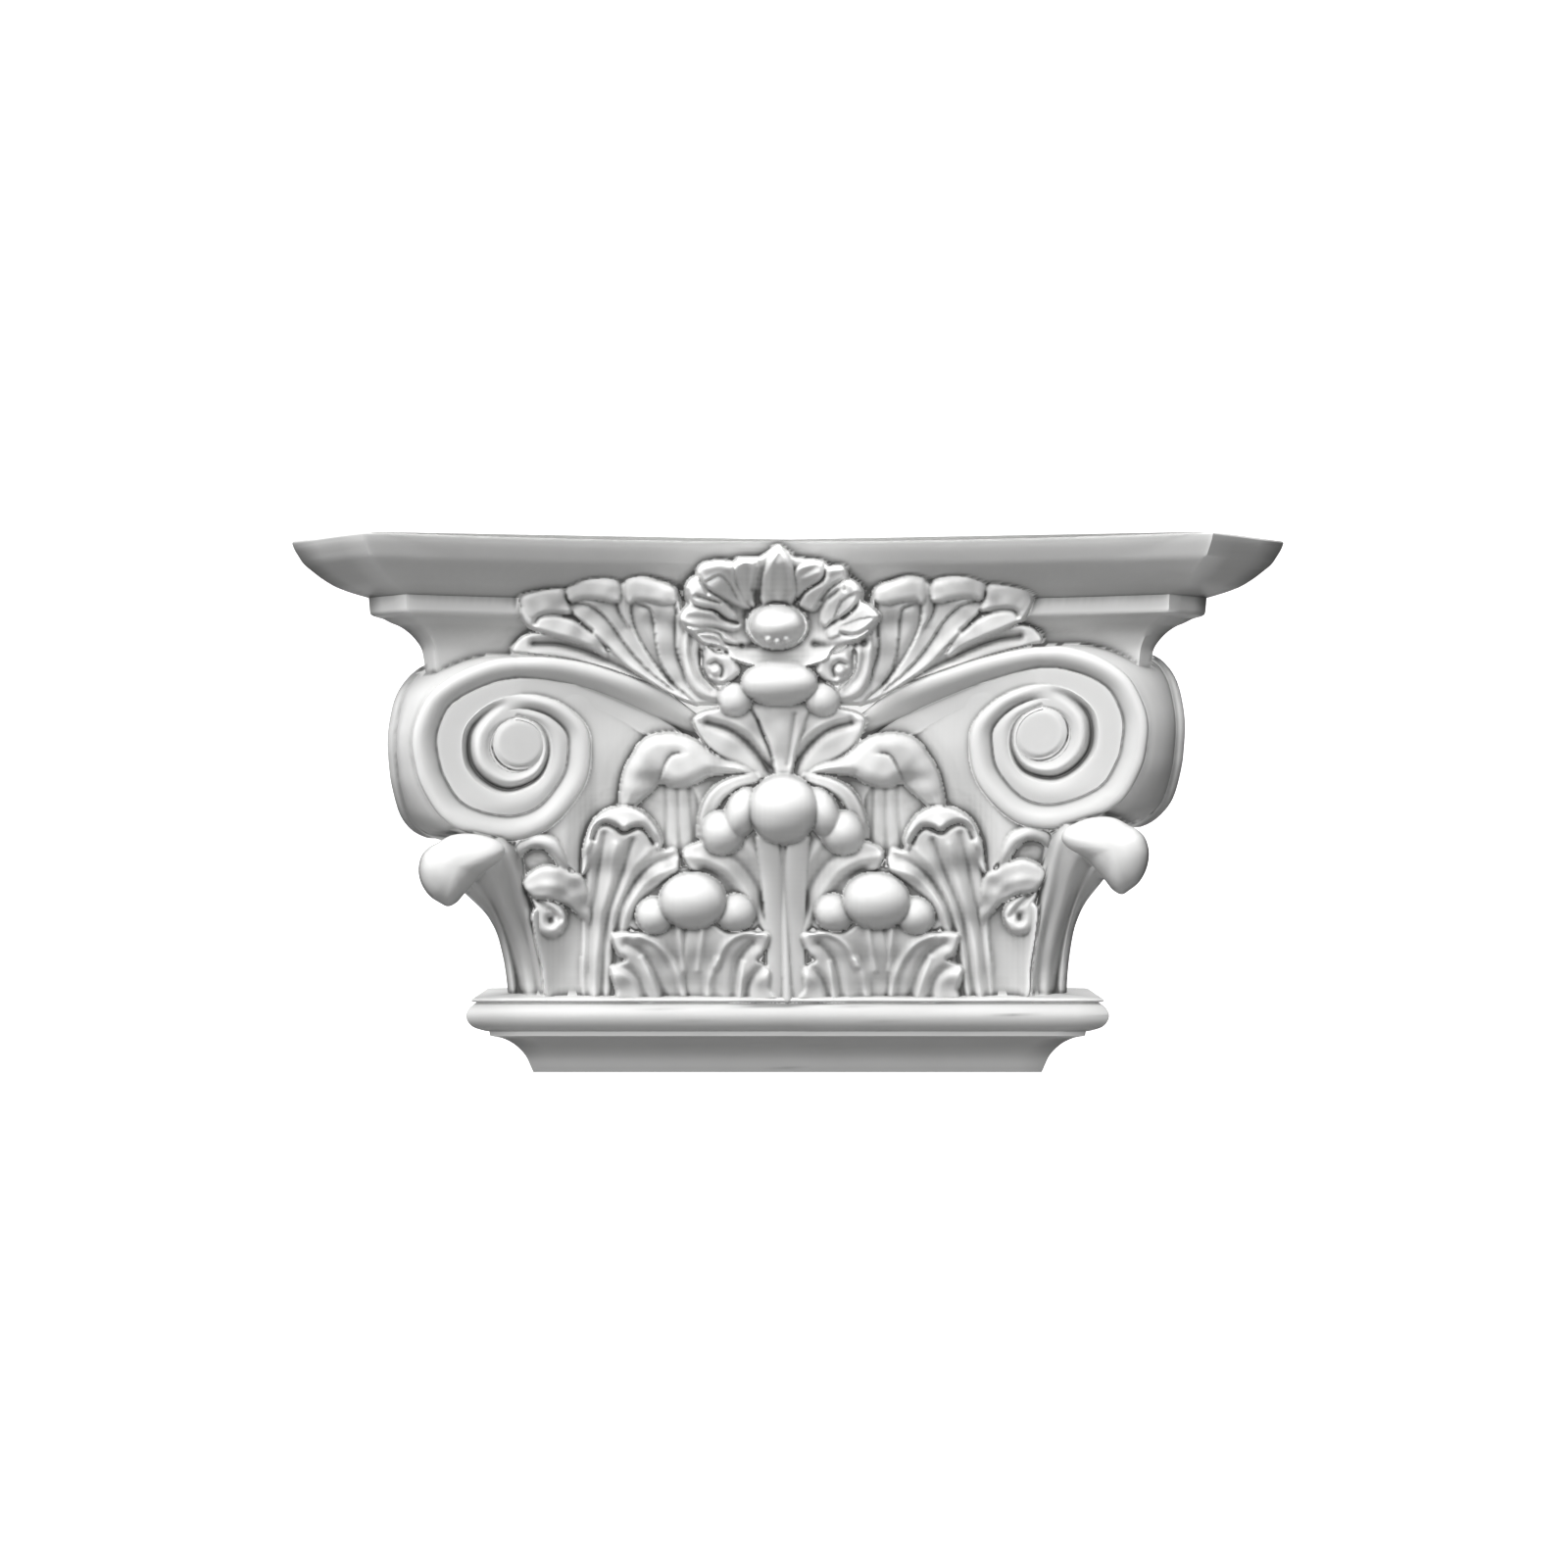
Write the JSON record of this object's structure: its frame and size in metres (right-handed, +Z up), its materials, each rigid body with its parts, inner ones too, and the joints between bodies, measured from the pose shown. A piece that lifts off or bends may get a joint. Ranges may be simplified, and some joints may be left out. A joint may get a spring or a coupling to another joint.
{
  "type": "composite pilaster capital",
  "caption": "Shallow composite capital for a flat pilaster: moulded neck, acanthus bell with fruit clusters, spiral corner volutes and a hollow-sided abacus with a rosette",
  "frame": {"origin": "middle of the flat back face that goes against the wall, halfway up and halfway across", "axes": "+Z up the pilaster, -Y out of the wall towards the viewer, +X to the viewer's right"},
  "size_m": [0.371, 0.105, 0.206],
  "materials": {
    "plaster": "dry matt off-white cast plaster, uncoated, faintly chalky, with soft mould-worn edges"
  },
  "bodies": {
    "root": {"capital": "plaster"}
  },
  "joints": []
}
